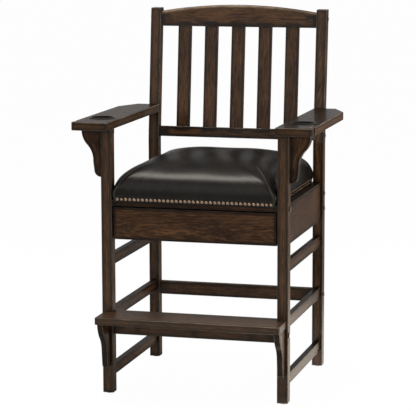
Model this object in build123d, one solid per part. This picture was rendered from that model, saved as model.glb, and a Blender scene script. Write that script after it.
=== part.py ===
from build123d import *
import math
import os

# A pub-height armchair in solid wood: a leather seat with a drawer under it and a board for the feet.
# It is a knock-down frame. Two glued side frames are pulled together by cross rails, bolts and barrel nuts.
# Millimetres. +X is to the right of someone who faces the chair, +Y is towards its back, +Z is up.
# The pieces are worked out with y = 0 at the front faces of the legs, and moved at the end, so that the
# origin lies on the floor under the middle of the whole chair.

# Driving sizes of the frame
frame_width = 610.0
frame_depth = 560.0
leg_size = 35.0
leg_round = 2.0
edge_round = 1.6
post_rise = 60.0
rake_rise = 133.0
rake_degrees = 5.7
overrun = 5.0
fit_gap = 0.1

# Cross sections of the rails and stretchers
side_inset = 8.0
side_thick = 19.0
rail_thick = 21.0
stretcher_high = 36.0
upper_stretcher_drop = 52.5
middle_stretcher_base = 238.0
lower_stretcher_base = 53.0
tenon_bolt_gap = 2.2
tenon_thick = 9.0
tenon_shoulder = 6.0
apron_tenon_shoulder = 18.0

# Heights that the seat and the drawer share
seat_rail_top = 632.0
apron_high = 128.0
front_rail_thick = 19.0
front_rail_deep = 45.0
deck_thick = 18.0
deck_side_gap = 8.0
deck_rest = 12.0

# Back
back_opening = 339.0
crest_end_high = 51.0
crest_rise = 23.0
crest_thick = 22.0
crest_round = 8.0
lower_back_rise = 142.0
lower_back_high = 35.0
slat_count = 5
slat_wide = 46.0
slat_pitch = 93.5
slat_thick = 12.0
slat_tenon = 8.0

# Rear stretcher, footrest rail and footboard
rear_stretcher_base = 223.5
rear_stretcher_high = 45.0
footboard_top = 269.0
footboard_thick = 24.0
footboard_reach = 97.0
footboard_inset = 5.5
footboard_round = 3.0
notch_gap = 0.5
footrest_rail_high = 49.0
footrest_rail_setback = 5.0
footrest_rail_thick = 20.0

# Arms
arm_rise = 250.0
arm_thick = 27.0
arm_wide = 118.0
arm_overhang = 42.0
arm_round = 3.0
arm_corner_round = 5.0
arm_clip_wide = 42.0
arm_clip_long = 90.0
cue_notch_wide = 25.0
cue_notch_deep = 15.0
cue_notch_back = 36.0
cup_back = 139.0

# Corbels under the arms, as high as the reach from the arm to their foot
corbel_setback = 15.0
corbel_high = 153.0
corbel_thick = 19.0

# Brackets under the footboard
bracket_wide = 18.5
bracket_setback = 17.0
bracket_high = 151.0

# Cup holders
cup_flange_wide = 4.5
cup_flange_high = 2.5
cup_outer_radius = 37.5
cup_wall = 1.2
cup_deep = 50.0
cup_hole_gap = 0.4
cup_lip_round = 1.0

# Cushion and its leather skirt
cushion_crown = 108.0
cushion_bulge = 3.5
cushion_side_reach = 195.0
cushion_front_reach = 259.0
cushion_back_reach = 165.0
cushion_hem_corner = 4.0
cushion_corner = 31.0
cushion_corner_rise = 40.0
cushion_crown_corner = 82.0
cushion_levels = 16
crown_power_share = 0.73
corner_power_share = 2.4
corner_limit_share = 0.95
skirt_thick = 2.0
skirt_lap = 5.0
side_skirt_rise = 2.0

# Domed nailheads
nail_pitch = 13.9
nail_end_gap = 10.0
nail_head_radius = 5.6
nail_head_high = 2.4
nail_shank_radius = 0.9
nail_shank_long = 8.0
front_nail_rise = 4.0
side_nail_rise = 12.0

# Bolts, barrel nuts and dowels of the cross rails
bolt_radius = 3.0
bolt_past_nut = 7.0
bolt_hole_gap = 0.3
bolt_head_radius = 8.5
bolt_head_high = 3.2
bolt_head_round = 2.0
nut_radius = 5.0
nut_long = 14.0
nut_back = 20.0
dowel_radius = 3.0
dowel_long = 24.0
dowel_offset = 11.0
footrest_dowel_offset = 14.0
bolt_spacing = 51.0
crest_bolt_rise = 30.0

# Dowels of the arms, corbels and brackets
peg_radius = 4.0
peg_long = 24.0
peg_offset = 8.0

# Wood screws
screw_radius = 2.0
screw_head_radius = 4.0
screw_head_high = 2.5
deck_screw_long = 36.0
cleat_screw_long = 38.0
runner_screw_long = 24.0
board_screw_cover = 8.0
drawer_screw_long = 22.0
stop_screw_long = 16.0
counterbore_deep = 20.0

# Drawer
drawer_front_setback = 5.0
drawer_front_thick = 16.0
drawer_side_reveal = 4.0
drawer_top_reveal = 4.5
drawer_base_drop = 1.0
drawer_side_thick = 12.0
drawer_back_room = 92.0
drawer_top_gap = 6.0
drawer_box_front_drop = 10.0
drawer_bottom_thick = 6.0
drawer_bottom_rise = 6.0
groove_deep = 5.0
run_gap = 0.5

# Runners, cleats and stops
runner_thick = 12.5
runner_wide = 28.0
guide_thick = 13.5
guide_high = 22.0
runner_start = 1.0
cleat_wide = 28.0
cleat_high = 26.0
stop_setback = 83.0
stop_wide = 60.0
stop_thick = 12.0
stop_high = 36.0
closing_stop_long = 14.0
closing_stop_high = 12.0
closing_gap = 0.3
corner_block_leg = 45.0

# Glides under the feet
glide_radius = 11.0
glide_high = 3.0
glide_pin_radius = 2.0
glide_pin_long = 15.0

# Places that several pieces share
outer_x = frame_width / 2
inner_x = outer_x - leg_size
leg_mid_x = outer_x - leg_size / 2
post_front = frame_depth - leg_size
post_mid = frame_depth - leg_size / 2
side_outer_x = outer_x - side_inset
side_inner_x = side_outer_x - side_thick
rake = math.radians(rake_degrees)
rake_start = seat_rail_top + rake_rise
lower_back_base = seat_rail_top + lower_back_rise
crest_base = lower_back_base + lower_back_high + back_opening
post_top = crest_base + post_rise
tenon_long = leg_size / 2 - bolt_radius - bolt_hole_gap - tenon_bolt_gap
bolt_long = leg_size + nut_back + bolt_past_nut
arm_top = seat_rail_top + arm_rise
arm_base = arm_top - arm_thick
corbel_wide = arm_wide - leg_size - corbel_setback
arm_mid_x = inner_x + arm_wide / 2
arm_outer_x = inner_x + arm_wide
cup_y = cup_back - arm_overhang
notch_y = cue_notch_back - arm_overhang
cup_flange_radius = cup_outer_radius + cup_flange_wide
apron_base = seat_rail_top - apron_high
upper_stretcher_base = apron_base - upper_stretcher_drop - stretcher_high
rail_mid_y = post_mid
rear_rail_front = rail_mid_y - rail_thick / 2
deck_half = inner_x - deck_side_gap
deck_back = rear_rail_front + deck_rest
deck_top = seat_rail_top + deck_thick
board_base = footboard_top - footboard_thick
bracket_deep = footboard_reach - bracket_setback
footrest_mid_y = footrest_rail_setback + footrest_rail_thick / 2
footrest_base = board_base - footrest_rail_high
front_rail_base = seat_rail_top - front_rail_thick
front_rail_mid = seat_rail_top - front_rail_thick / 2
drawer_front_half = inner_x - drawer_side_reveal
drawer_front_base = apron_base + drawer_base_drop
drawer_front_top = front_rail_base - drawer_top_reveal
cleat_base = seat_rail_top - cleat_high
box_start = drawer_front_setback + drawer_front_thick
box_end = rear_rail_front - drawer_back_room
runner_base = drawer_front_base
runner_top = runner_base + runner_thick
guide_x = side_inner_x - guide_thick
drawer_box_half = guide_x - run_gap
box_base = runner_top + run_gap
box_top = cleat_base - drawer_top_gap
box_front_top = box_top - drawer_box_front_drop
box_inner_half = drawer_box_half - drawer_side_thick
bottom_base = box_base + drawer_bottom_rise
stop_front = front_rail_deep + stop_setback
stop_back = stop_front + stop_thick
sides = (("right", 1), ("left", -1))


def raked(depth, rise):
    """A place in the raked back: depth behind the posts' front face, rise along the slope above its start."""
    y = post_front + depth * math.cos(rake) + rise * math.sin(rake)
    z = rake_start - depth * math.sin(rake) + rise * math.cos(rake)
    return y, z


def up_slope(height):
    """How far along the slope a height above the floor lies, at the middle of the posts."""
    return (height - rake_start) / math.cos(rake)


def on_slope(shape):
    """Moves a shape made upright, with y = 0 at the posts' front face, onto the raked back."""
    return Pos(0, post_front, rake_start) * Rot(X=-rake_degrees) * shape


def block(low, high):
    """A box between its lowest and its highest corner."""
    size = [b - a for a, b in zip(low, high)]
    return Pos(*low) * Box(*size, align=(Align.MIN, Align.MIN, Align.MIN))


def eased(shape, axis, radius=edge_round):
    """Rounds the edges that run along one axis, as a plane and sandpaper leave them."""
    return fillet(shape.edges().filter_by(axis), radius)


def rod_x(radius, start, end, y, z):
    """A round bar along X from one x to the other."""
    low, high = min(start, end), max(start, end)
    bar = Cylinder(radius, high - low, align=(Align.CENTER, Align.CENTER, Align.MIN))
    return Pos(low, y, z) * Rot(Y=90) * bar


def rod_y(radius, start, end, x, z):
    """A round bar along Y from one y to the other."""
    low, high = min(start, end), max(start, end)
    bar = Cylinder(radius, high - low, align=(Align.CENTER, Align.CENTER, Align.MIN))
    return Pos(x, low, z) * Rot(X=-90) * bar


def rod_z(radius, start, end, x, y):
    """A round bar along Z from one height to the other."""
    low, high = min(start, end), max(start, end)
    bar = Cylinder(radius, high - low, align=(Align.CENTER, Align.CENTER, Align.MIN))
    return Pos(x, y, low) * bar


def across(shape):
    """The same shape on the chair's other side."""
    return mirror(shape, about=Plane.YZ)


def both(shape):
    """A shape and its mirror image."""
    return [shape, across(shape)]


def cut(shape, tools):
    """Takes every tool out of a shape."""
    return shape - tools if tools else shape


# The cross rails and where their bolts go through the legs
crest_bolt = raked(leg_size / 2, up_slope(crest_base) + crest_bolt_rise)
lower_back_bolt = raked(leg_size / 2, up_slope(lower_back_base) + lower_back_high / 2)
seat_bolt_mid = seat_rail_top - apron_high / 2
post_bolts = [
    crest_bolt,
    lower_back_bolt,
    (rail_mid_y, seat_bolt_mid + bolt_spacing / 2),
    (rail_mid_y, seat_bolt_mid - bolt_spacing / 2),
    (rail_mid_y, rear_stretcher_base + rear_stretcher_high / 2),
]
leg_bolts = [
    (front_rail_deep / 2, front_rail_mid),
    (footrest_mid_y, footrest_base + footrest_rail_high / 2),
]

# Dowels beside the bolts, which keep a rail from turning
crest_dowel = raked(leg_size / 2, up_slope(crest_base) + crest_bolt_rise - dowel_offset)
lower_back_dowel = raked(leg_size / 2, up_slope(lower_back_base) + lower_back_high / 2 - dowel_offset)
post_dowels = [
    crest_dowel,
    lower_back_dowel,
    (rail_mid_y, rear_stretcher_base + rear_stretcher_high / 2 - dowel_offset),
]
leg_dowels = [
    (front_rail_deep / 2 - dowel_offset, front_rail_mid),
    (footrest_mid_y, footrest_base + footrest_rail_high / 2 - footrest_dowel_offset),
]


def bolt(y, z):
    """One bolt on the right: a domed head on the leg's outer face and a shank into the rail."""
    head = rod_x(bolt_head_radius, outer_x, outer_x + bolt_head_high, y, z)
    head = fillet(head.edges().group_by(Axis.X)[-1], bolt_head_round)
    return head + rod_x(bolt_radius, outer_x - bolt_long, outer_x, y, z)


def bolt_hole(y, z):
    """The clearance hole of a bolt, from outside the leg to past the bolt's end."""
    end = outer_x - bolt_long - overrun
    return rod_x(bolt_radius + bolt_hole_gap, end, outer_x + overrun, y, z)


def rail_dowel(y, z):
    """A dowel that is half in the leg and half in the rail."""
    return rod_x(dowel_radius, inner_x - dowel_long / 2, inner_x + dowel_long / 2, y, z)


def nut_x():
    """Where the barrel nuts sit, measured across the chair."""
    return inner_x - nut_back


def barrel_nut(y, z, tilt, upright):
    """A steel barrel with a cross hole for the bolt, lying through the rail's thickness."""
    turn = Rot(X=-tilt) if upright else Rot(X=90 - tilt)
    barrel = turn * Cylinder(nut_radius, nut_long)
    return Pos(nut_x(), y, z) * barrel - bolt_hole(y, z)


def nut_hole(y, z, tilt, upright, reach):
    """The hole that takes a barrel nut, open on the rail's hidden face."""
    turn = Rot(X=-tilt) if upright else Rot(X=90 - tilt)
    length = nut_long / 2 + reach / 2 + overrun
    hole = Cylinder(nut_radius, length, align=(Align.CENTER, Align.CENTER, Align.MIN))
    return Pos(nut_x(), y, z) * turn * Pos(0, 0, nut_long / 2 - length) * hole


def rail_cuts(bolts, dowels, tilt, upright, reach):
    """Everything that is drilled into a cross rail's two ends."""
    right = [bolt_hole(*p) for p in bolts] + [rail_dowel(*p) for p in dowels]
    right += [nut_hole(*p, tilt, upright, reach) for p in bolts]
    return right + [across(s) for s in right]


def tenon(low_z, high_z, shoulder, slack):
    """A side rail's two tenons as boxes, or with some slack the mortises that take them."""
    mid = (side_inner_x + side_outer_x) / 2
    near = mid - tenon_thick / 2 - slack
    far = mid + tenon_thick / 2 + slack
    base = low_z + shoulder - slack
    top = high_z - shoulder + slack
    front = block((near, leg_size - tenon_long - slack, base), (far, leg_size, top))
    back = block((near, post_front, base), (far, post_front + tenon_long + slack, top))
    return front, back


side_rails = {
    "upper_side_stretcher": (upper_stretcher_base, stretcher_high, tenon_shoulder),
    "middle_side_stretcher": (middle_stretcher_base, stretcher_high, tenon_shoulder),
    "lower_side_stretcher": (lower_stretcher_base, stretcher_high, tenon_shoulder),
    "side_apron": (apron_base, apron_high, apron_tenon_shoulder),
}


def mortises(end):
    """The mortises of all the side rails in a front leg (end 0) or a rear post (end 1)."""
    return [tenon(z, z + h, s, fit_gap)[end] for z, h, s in side_rails.values()]


def glide(y):
    """A plastic glide: a disc under the foot and a pin up into the leg."""
    disc = rod_z(glide_radius, 0, glide_high, leg_mid_x, y)
    return disc + rod_z(glide_pin_radius, glide_high, glide_high + glide_pin_long, leg_mid_x, y)


def arm_pegs():
    """Dowels of the right arm: one up from the leg and two back into the post."""
    standing = rod_z(peg_radius, arm_base - peg_long / 2, arm_base + peg_long / 2, leg_mid_x, leg_size / 2)
    z = arm_base + arm_thick / 2
    meet = raked(0, up_slope(z))[0]
    lying = [
        rod_y(peg_radius, meet - peg_long / 2, meet + peg_long / 2, leg_mid_x + s * peg_offset, z)
        for s in (1, -1)
    ]
    return [standing] + lying


corbel_front = leg_size - corbel_thick
corbel_mid_y = leg_size - corbel_thick / 2
corbel_peg_shares = (0.3, 0.78)
bracket_peg_shares = (0.25, 0.7)


def corbel_pegs():
    """Two dowels that hold the right corbel to its leg."""
    heights = [arm_base - corbel_high * s for s in corbel_peg_shares]
    return [rod_x(peg_radius, outer_x - peg_long / 2, outer_x + peg_long / 2, corbel_mid_y, z) for z in heights]


def bracket_pegs():
    """Two dowels that hold the right footboard bracket to its leg."""
    heights = [board_base - bracket_high * s for s in bracket_peg_shares]
    return [rod_y(peg_radius, -peg_long / 2, peg_long / 2, leg_mid_x, z) for z in heights]


def front_leg():
    """The right front leg, from its glide to the underside of the arm."""
    leg = block((inner_x, 0, glide_high), (outer_x, leg_size, arm_base))
    leg = eased(leg, Axis.Z, leg_round)
    tools = mortises(0) + [bolt_hole(*p) for p in leg_bolts] + [rail_dowel(*p) for p in leg_dowels]
    tools += corbel_pegs() + bracket_pegs() + [arm_pegs()[0], glide(leg_size / 2)]
    return cut(leg, tools)


def rear_post():
    """The right rear post: upright to the seat's back, then raked along its own slope."""
    bend_back = rake_start - leg_size * math.tan(rake / 2)
    rise = math.tan(rake)
    points = [
        (post_front, glide_high),
        (frame_depth, glide_high),
        (frame_depth, bend_back),
        (frame_depth + (post_top - bend_back) * rise, post_top),
        (post_front + (post_top - rake_start) * rise, post_top),
        (post_front, rake_start),
    ]
    face = make_face(Polyline(*points, close=True))
    post = Pos(inner_x, 0, 0) * extrude(Plane.YZ * face, leg_size)
    long_edges = [e for e in post.edges() if e.length > leg_size * 2]
    post = fillet(long_edges, leg_round)
    post = fillet(post.faces().sort_by(Axis.Z)[-1].edges(), leg_round)
    tools = mortises(1) + [bolt_hole(*p) for p in post_bolts] + [rail_dowel(*p) for p in post_dowels]
    return cut(post, tools + arm_pegs()[1:] + [glide(post_mid)])


def side_rail(name):
    """One rail of the right side frame, with a tenon at each end."""
    base, high, shoulder = side_rails[name]
    rail = block((side_inner_x, leg_size, base), (side_outer_x, post_front, base + high))
    rail = eased(rail, Axis.Y)
    for part in tenon(base, base + high, shoulder, 0):
        rail += part
    return rail


def crest_rail():
    """The top rail: a flat foot, an arched top and well rounded upper edges."""
    base = up_slope(crest_base)
    ends = base + crest_end_high
    outline = Polyline((inner_x, ends), (inner_x, base), (-inner_x, base), (-inner_x, ends))
    arch = ThreePointArc((-inner_x, ends), (0, ends + crest_rise), (inner_x, ends))
    face = make_face(outline + arch)
    front = (leg_size - crest_thick) / 2
    rail = Pos(0, front + crest_thick, 0) * extrude(Plane.XZ * face, crest_thick)
    curved = rail.edges().filter_by(GeomType.CIRCLE)
    rail = fillet(curved, crest_round)
    low = rail.edges().filter_by(Axis.X).group_by(Axis.Z)[0]
    rail = fillet(low, edge_round)
    tools = rail_cuts([crest_bolt], [crest_dowel], rake_degrees, False, crest_thick)
    return cut(on_slope(rail) - slat_mortises(), tools)


def lower_back_rail():
    """The rail just above the seat that carries the slats."""
    base = up_slope(lower_back_base)
    front = (leg_size - rail_thick) / 2
    rail = block((-inner_x, front, base), (inner_x, front + rail_thick, base + lower_back_high))
    rail = eased(rail, Axis.X)
    tools = rail_cuts([lower_back_bolt], [lower_back_dowel], rake_degrees, False, rail_thick)
    return cut(on_slope(rail) - slat_mortises(), tools)


def slat_x(index):
    """The middle of one slat, counted from the left."""
    return (index - (slat_count - 1) / 2) * slat_pitch


def slat(index, slack=0):
    """One back slat with its ends let into both rails, upright in the back's own slope."""
    low = up_slope(lower_back_base) + lower_back_high - slat_tenon - slack
    high = up_slope(crest_base) + slat_tenon + slack
    front = (leg_size - slat_thick) / 2 - slack
    x = slat_x(index)
    half = slat_wide / 2 + slack
    return block((x - half, front, low), (x + half, front + slat_thick + 2 * slack, high))


def slat_mortises():
    """The sockets of all the slats, on the slope."""
    return [on_slope(slat(i, fit_gap)) for i in range(slat_count)]


def back_slat(index):
    """One finished slat: its long edges are eased."""
    return on_slope(eased(slat(index), Axis.Z))


def rear_seat_rail():
    """The deep rail behind the seat, as high as the aprons, with two bolts at each end."""
    back = rear_rail_front + rail_thick
    rail = block((-inner_x, rear_rail_front, apron_base), (inner_x, back, seat_rail_top))
    rail = eased(rail, Axis.X)
    return cut(rail, rail_cuts(post_bolts[2:4], [], 0, False, rail_thick))


def rear_stretcher():
    """The stretcher between the rear posts, level with the footboard."""
    back, top = rear_rail_front + rail_thick, rear_stretcher_base + rear_stretcher_high
    rail = block((-inner_x, rear_rail_front, rear_stretcher_base), (inner_x, back, top))
    rail = eased(rail, Axis.X)
    return cut(rail, rail_cuts(post_bolts[4:], post_dowels[2:], 0, False, rail_thick))


def front_seat_rail():
    """The thin rail laid flat over the drawer, so that the drawer has room."""
    rail = block((-inner_x, 0, front_rail_base), (inner_x, front_rail_deep, seat_rail_top))
    rail = eased(rail, Axis.X)
    return cut(rail, rail_cuts(leg_bolts[:1], leg_dowels[:1], 0, True, front_rail_thick))


def footrest_rail():
    """The rail under the footboard, between the front legs."""
    low = (-inner_x, footrest_rail_setback, footrest_base)
    high = (inner_x, footrest_rail_setback + footrest_rail_thick, board_base)
    rail = eased(block(low, high), Axis.X)
    tools = rail_cuts(leg_bolts[1:], leg_dowels[1:], 0, False, footrest_rail_thick)
    bores = []
    for x in footboard_screw_x():
        bores.append(rod_z(screw_head_radius + fit_gap, footrest_base - overrun,
                           footrest_base + counterbore_deep, x, footrest_mid_y))
        bores.append(footboard_screw(x))
    return cut(rail, tools + bores)


def footboard():
    """The board for the feet, notched round the front legs and carried by the rail and two brackets."""
    half = outer_x - footboard_inset
    inner = inner_x - notch_gap
    board = block((-half, -footboard_reach, board_base), (half, 0, footboard_top))
    tail = block((-inner, 0, board_base), (inner, leg_size, footboard_top))
    board = board + tail
    outer_edges = [e for e in board.edges() if abs(e.center().Y + footboard_reach) < fit_gap]
    outer_edges += [e for e in board.edges().filter_by(Axis.Y) if abs(e.center().X) > outer_x - leg_size / 2]
    board = fillet(outer_edges, footboard_round)
    return cut(board, [footboard_screw(x) for x in footboard_screw_x()])


def footboard_bracket():
    """The right bracket: deep under the board, an S down its front, thin at its foot."""
    depth_shares = (1.0, 0.98, 0.87, 0.7, 0.53, 0.46, 0.375)
    drop_shares = (0, 0.08, 0.22, 0.34, 0.47, 0.62, 0.97)
    p = [(-bracket_deep * d, board_base - bracket_high * z) for d, z in zip(depth_shares, drop_shares)]
    foot = board_base - bracket_high
    heel_share = 0.33
    outline = Curve() + [
        Line((0, board_base), p[0]),
        Line(p[0], p[1]),
        ThreePointArc(p[1], p[2], p[3]),
        ThreePointArc(p[3], p[4], p[5]),
        Line(p[5], p[6]),
        Line(p[6], (-bracket_deep * heel_share, foot)),
        Line((-bracket_deep * heel_share, foot), (0, foot)),
        Line((0, foot), (0, board_base)),
    ]
    face = make_face(outline)
    body = Pos(leg_mid_x - bracket_wide / 2, 0, 0) * extrude(Plane.YZ * face, bracket_wide)
    return cut(body, bracket_pegs())


def arm_corbel():
    """The right corbel: wide under the arm, drawn in by an S, and rounded into the leg at its foot."""
    wide_shares = (1.0, 0.93, 0.77, 0.53, 0.44, 0.39, 0.29, 0.06)
    drop_shares = (0.04, 0.19, 0.31, 0.46, 0.67, 0.86, 0.96, 1.0)
    p = [(outer_x + corbel_wide * w, arm_base - corbel_high * z) for w, z in zip(wide_shares, drop_shares)]
    outline = Curve() + [
        Line((outer_x, arm_base), (outer_x + corbel_wide, arm_base)),
        Line((outer_x + corbel_wide, arm_base), p[0]),
        ThreePointArc(p[0], p[1], p[2]),
        ThreePointArc(p[2], p[3], p[4]),
        Line(p[4], p[5]),
        ThreePointArc(p[5], p[6], p[7]),
        Line(p[7], (outer_x, arm_base - corbel_high)),
        Line((outer_x, arm_base - corbel_high), (outer_x, arm_base)),
    ]
    face = make_face(outline)
    body = Pos(0, leg_size, 0) * extrude(Plane.XZ * face, corbel_thick)
    return cut(body, corbel_pegs())


def armrest():
    """The right arm: a broad board with a cup hole, a cue notch and a clipped outer rear corner."""
    back = raked(0, up_slope(arm_top))[0] + overrun
    meet = raked(0, up_slope(arm_top))[0]
    points = [
        (inner_x, -arm_overhang),
        (arm_outer_x, -arm_overhang),
        (arm_outer_x, meet - arm_clip_long),
        (arm_outer_x - arm_clip_wide, meet),
        (arm_outer_x - arm_clip_wide, back),
        (inner_x, back),
    ]
    face = make_face(Polyline(*points, close=True))
    front_corners = face.vertices().group_by(Axis.Y)[0]
    face = fillet(front_corners, arm_corner_round)
    arm = Pos(0, 0, arm_base) * extrude(face, arm_thick)
    arm = fillet([e for e in arm.edges() if on_rim(e)], arm_round)
    behind = Box(frame_width, frame_depth, post_top, align=(Align.CENTER, Align.MIN, Align.CENTER))
    arm -= on_slope(Pos(leg_mid_x, 0, 0) * behind)
    arm -= cue_notch()
    arm -= rod_z(cup_outer_radius + cup_hole_gap, arm_base - overrun, arm_top + overrun, arm_mid_x, cup_y)
    return cut(arm, arm_pegs())


def on_rim(edge):
    """True for the arm's upper and lower edges, apart from those of its end at the post."""
    middle = edge.center()
    level = min(abs(middle.Z - arm_base), abs(middle.Z - arm_top)) < fit_gap
    return level and middle.Y < raked(0, up_slope(arm_top))[0]


def cue_notch():
    """A round-ended notch in the arm's outer edge, where a cue leans."""
    radius = cue_notch_wide / 2
    throat = arm_outer_x - cue_notch_deep + radius
    low = (throat, notch_y - radius, arm_base - overrun)
    high = (arm_outer_x + overrun, notch_y + radius, arm_top + overrun)
    return block(low, high) + rod_z(radius, arm_base - overrun, arm_top + overrun, throat, notch_y)


def cup_holder():
    """The right cup holder: a spun cup with a flange that rests on the arm."""
    inner = cup_outer_radius - cup_wall
    floor = arm_top - cup_deep
    rim = arm_top + cup_flange_high
    points = [
        (0, floor),
        (cup_outer_radius, floor),
        (cup_outer_radius, arm_top),
        (cup_flange_radius, arm_top),
        (cup_flange_radius, rim),
        (inner, rim),
        (inner, floor + cup_wall),
        (0, floor + cup_wall),
    ]
    cup = revolve(Plane.XZ * make_face(Polyline(*points, close=True)), Axis.Z)
    lip = cup.edges().filter_by(GeomType.CIRCLE).group_by(Axis.Z)[-1]
    return Pos(arm_mid_x, cup_y, 0) * fillet(lip, cup_lip_round)


def nail_places(where):
    """The centres of one row of nails, on the outside of the leather skirt."""
    if where == "front":
        last = int((2 * deck_half - 2 * nail_end_gap) / nail_pitch)
        z = seat_rail_top + front_nail_rise
        return [((i - last / 2) * nail_pitch, -skirt_thick, z) for i in range(last + 1)]
    first = nail_pitch / 2
    last = int((deck_back - nail_end_gap - first) / nail_pitch)
    z = seat_rail_top + side_nail_rise
    return [(deck_half + skirt_thick, first + i * nail_pitch, z) for i in range(last + 1)]


def nail(place, where, shank_only=False):
    """A domed nail through the skirt into the deck's edge."""
    turn = Rot(X=90) if where == "front" else Rot(Y=90)
    shank = Pos(0, 0, -nail_shank_long) * Cylinder(
        nail_shank_radius, nail_shank_long, align=(Align.CENTER, Align.CENTER, Align.MIN))
    if shank_only:
        return Pos(*place) * turn * shank
    ball = (nail_head_radius ** 2 + nail_head_high ** 2) / (2 * nail_head_high)
    arc = RadiusArc((nail_head_radius, 0), (0, nail_head_high), -ball)
    outline = Curve() + [Line((0, 0), (nail_head_radius, 0)), arc, Line((0, nail_head_high), (0, 0))]
    dome = revolve(Plane.XZ * make_face(outline), Axis.Z)
    return Pos(*place) * turn * (dome + shank)


def skirt_nails(where):
    """The shanks of one row, as tools that make their holes."""
    return [nail(p, where, True) for p in nail_places(where)]


def seat_nailheads():
    """All the nails: one row across the front and one along each side."""
    front = [nail(p, "front") for p in nail_places("front")]
    side = [nail(p, "side") for p in nail_places("side")]
    return front + side + [across(s) for s in side]


def seat_deck():
    """The plywood deck that the cushion is built on."""
    deck = block((-deck_half, 0, seat_rail_top), (deck_half, deck_back, deck_top))
    side = skirt_nails("side")
    tools = skirt_nails("front") + side + [across(s) for s in side]
    return cut(deck, tools + deck_screws() + stop_screws())


def cushion_section(turn_share):
    """One level of the crown, a rounded rectangle that draws in and rises along a quarter turn."""
    turn = math.pi / 2 * turn_share
    shrink = 1 - math.cos(turn)
    rise = cushion_crown * math.sin(turn) ** crown_power_share
    half = deck_half + skirt_thick + cushion_bulge - cushion_side_reach * shrink
    front = -skirt_thick - cushion_bulge + cushion_front_reach * shrink
    back = deck_back + skirt_thick + cushion_bulge - cushion_back_reach * shrink
    corner = cushion_hem_corner + (cushion_corner - cushion_hem_corner) * min(rise / cushion_corner_rise, 1)
    corner += cushion_crown_corner * (rise / cushion_crown) ** corner_power_share
    corner = min(corner, half * corner_limit_share, (back - front) / 2 * corner_limit_share)
    outline = Pos(0, (front + back) / 2) * RectangleRounded(2 * half, back - front, corner)
    return Plane.XY.offset(deck_top + rise) * outline


def seat_cushion():
    """Foam and leather as one soft solid: swollen sides, a broad crown, and a skirt down to the nails."""
    sections = [cushion_section(i / cushion_levels) for i in range(cushion_levels + 1)]
    pad = loft(Sketch() + sections, ruled=True)
    low = deck_half + skirt_thick
    front = block((-low, -skirt_thick, seat_rail_top - skirt_lap), (low, 0, deck_top))
    side_base = seat_rail_top + side_skirt_rise
    side = block((deck_half, 0, side_base), (low, deck_back + skirt_thick, deck_top))
    rear = block((-low, deck_back, side_base), (low, deck_back + skirt_thick, deck_top))
    shape = pad + front + side + across(side) + rear
    nails = skirt_nails("side")
    return cut(shape, skirt_nails("front") + nails + [across(s) for s in nails])


def screw_x(x_head, x_tip, y, z):
    """A countersunk screw along X, from its head's face to its tip."""
    step = math.copysign(screw_head_high, x_tip - x_head)
    cone_plane = Plane(origin=(x_head, y, z), z_dir=(math.copysign(1, x_tip - x_head), 0, 0))
    cone = Cone(screw_head_radius, screw_radius, screw_head_high,
                align=(Align.CENTER, Align.CENTER, Align.MIN))
    return cone_plane * cone + rod_x(screw_radius, x_head + step, x_tip, y, z)


def screw_y(y_head, y_tip, x, z):
    """A countersunk screw along Y, from its head's face to its tip."""
    step = math.copysign(screw_head_high, y_tip - y_head)
    cone_plane = Plane(origin=(x, y_head, z), z_dir=(0, math.copysign(1, y_tip - y_head), 0))
    cone = Cone(screw_head_radius, screw_radius, screw_head_high,
                align=(Align.CENTER, Align.CENTER, Align.MIN))
    return cone_plane * cone + rod_y(screw_radius, y_head + step, y_tip, x, z)


def screw_up(z_head, long, x, y):
    """A countersunk screw that is driven upwards."""
    cone = Cone(screw_head_radius, screw_radius, screw_head_high,
                align=(Align.CENTER, Align.CENTER, Align.MIN))
    shank = rod_z(screw_radius, z_head + screw_head_high, z_head + long, x, y)
    return Pos(x, y, z_head) * cone + shank


row_shares = (0.15, 0.5, 0.85)


def rows_along_side():
    """Three places between the front leg and the rear post."""
    return [leg_size + (post_front - leg_size) * s for s in row_shares]


def deck_screws():
    """Screws up through the cleats into the deck, three on each side."""
    x = (deck_half + side_inner_x - cleat_wide) / 2
    right = [screw_up(cleat_base, deck_screw_long, x, y) for y in rows_along_side()]
    return right + [across(s) for s in right]


cleat_screw_shift_share = 0.08


def side_screws():
    """Screws out through the right cleat and the right runner into the apron."""
    shift = (post_front - leg_size) * cleat_screw_shift_share
    x_cleat = side_inner_x - cleat_wide
    z_cleat = cleat_base + cleat_high / 2
    z_runner = runner_top + guide_high / 2
    out = [screw_x(x_cleat, x_cleat + cleat_screw_long, y + shift, z_cleat) for y in rows_along_side()]
    out += [screw_x(guide_x, guide_x + runner_screw_long, y + shift, z_runner) for y in rows_along_side()]
    return out


def side_apron():
    """The deep right apron, drilled for the cleat's and the runner's screws."""
    return cut(side_rail("side_apron"), side_screws())


def seat_cleat():
    """The right cleat: it carries the deck, and its underside keeps the drawer down."""
    low = (side_inner_x - cleat_wide, front_rail_deep + runner_start, cleat_base)
    high = (side_inner_x, post_front - runner_start, seat_rail_top)
    right_screws = [s for s in deck_screws() if s.center().X > 0]
    return cut(block(low, high), right_screws + side_screws())


def drawer_runner():
    """The right runner: a shelf for the drawer's side with a guide strip beside it."""
    start, end = leg_size + runner_start, post_front - runner_start
    shelf = block((side_inner_x - runner_wide, start, runner_base), (side_inner_x, end, runner_top))
    guide = block((guide_x, start, runner_top), (side_inner_x, end, runner_top + guide_high))
    return cut(shelf + guide, side_screws())


def drawer_closing_stops():
    """A small block on each runner, just behind the closed drawer's sides."""
    start = box_end + closing_gap
    low = (box_inner_half, start, runner_top)
    high = (drawer_box_half, start + closing_stop_long, runner_top + closing_stop_high)
    return both(block(low, high))


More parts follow.
